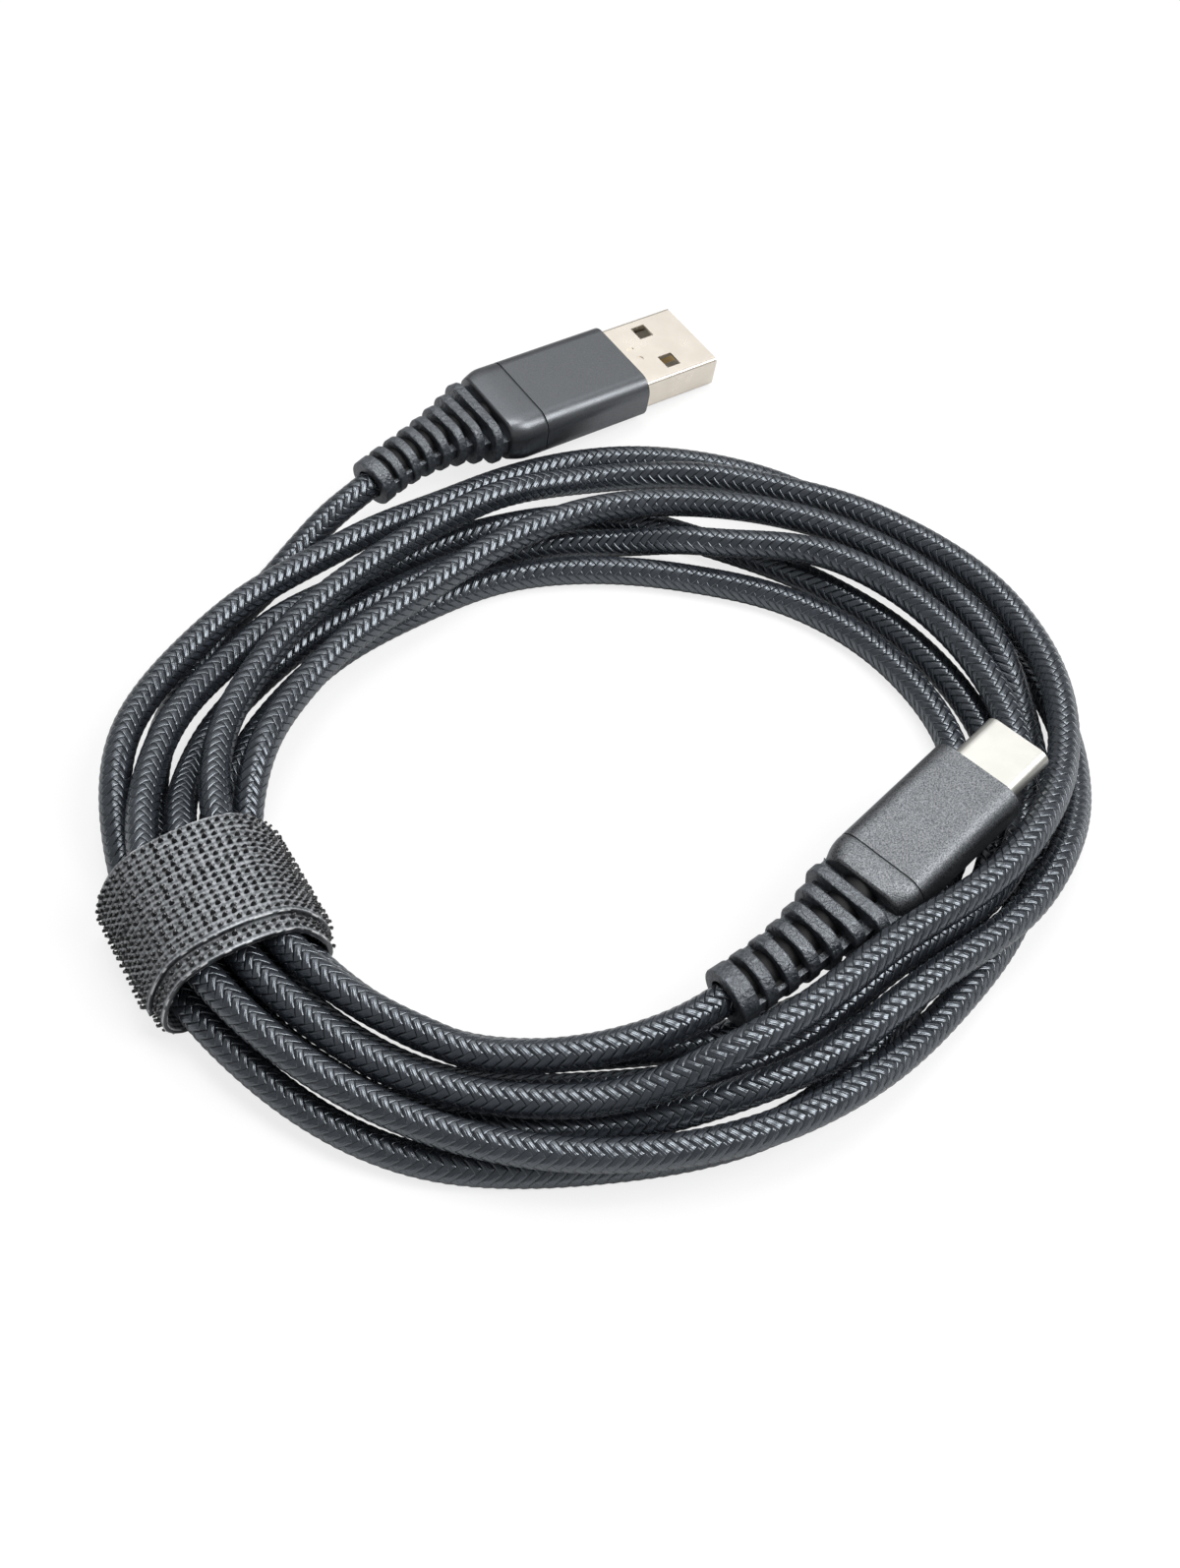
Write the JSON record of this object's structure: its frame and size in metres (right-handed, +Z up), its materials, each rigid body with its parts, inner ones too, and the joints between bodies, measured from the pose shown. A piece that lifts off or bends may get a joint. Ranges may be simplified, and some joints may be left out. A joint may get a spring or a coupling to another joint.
{
  "type": "charging cable",
  "caption": "Braided charging cable wound in a flat coil with a hook-and-loop strap, a USB-A plug at one end and a USB-C plug at the other.",
  "frame": {"origin": "centre of the whole cable's box, on the table it lies on", "axes": "+Z up from the table, +Y from the strapped coil towards the USB-A plug, +X to the right of a viewer who looks along +Y"},
  "size_m": [0.111, 0.1308, 0.0126],
  "materials": {
    "cord": "glossy braid",
    "usb_a_shell": "satin nickel",
    "usb_c_shell": "satin nickel",
    "usb_a_tongue": "moulded",
    "contacts": "gold plated",
    "sleeves": "bead-blasted anodised",
    "reliefs": "matte",
    "inner_moulds": "moulded",
    "inner_jacket": "matte",
    "red_wires": "plain",
    "white_wires": "plain",
    "green_wires": "plain",
    "black_wires": "plain",
    "usb_c_insulator": "moulded",
    "latches": "bright",
    "board": "solder mask",
    "resistor": "plain",
    "strap_band": "hook tape",
    "strap_tail": "hook tape"
  },
  "bodies": {
    "cable": {"cord_coil": "cord", "cord_a_lead": "cord", "cord_c_lead": "cord", "usb_a_shell": "usb_a_shell", "usb_a_tongue": "usb_a_tongue", "usb_a_contacts": "contacts", "usb_a_inner_mould": "inner_moulds", "usb_a_sleeve": "sleeves", "usb_a_relief": "reliefs", "usb_a_core": "inner_jacket", "usb_a_wire_red": "red_wires", "usb_a_wire_white": "white_wires", "usb_a_wire_green": "green_wires", "usb_a_wire_black": "black_wires", "usb_c_shell": "usb_c_shell", "usb_c_insulator": "usb_c_insulator", "usb_c_upper_contacts": "contacts", "usb_c_lower_contacts": "contacts", "usb_c_board": "board", "usb_c_resistor": "resistor", "usb_c_inner_mould": "inner_moulds", "usb_c_sleeve": "sleeves", "usb_c_relief": "reliefs", "usb_c_core": "inner_jacket", "usb_c_wire_red": "red_wires", "usb_c_wire_white": "white_wires", "usb_c_wire_green": "green_wires", "usb_c_wire_black": "black_wires", "strap_band": "strap_band"},
    "strap_tail": {"strap_tail": "strap_tail"},
    "latch_left": {"usb_c_latch_left": "latches"},
    "latch_right": {"usb_c_latch_right": "latches"}
  },
  "joints": [
    {"name": "strap_tail_peel", "type": "hinge", "parent": "cable", "child": "strap_tail", "pos_m": [-0.03695, -0.03337, 0.01094], "axis": [-0.5, 0.866, 0], "range_deg": [0, 75]},
    {"name": "latch_left_flex", "type": "hinge", "parent": "cable", "child": "latch_left", "pos_m": [0.03865, -0.01887, 0.0096], "axis": [-0.0558, -0.0675, 0.9962], "range_deg": [0, 2]},
    {"name": "latch_right_flex", "type": "hinge", "parent": "cable", "child": "latch_right", "pos_m": [0.04355, -0.02382, 0.00954], "axis": [0.0558, 0.0675, -0.9962], "range_deg": [0, 2]}
  ]
}
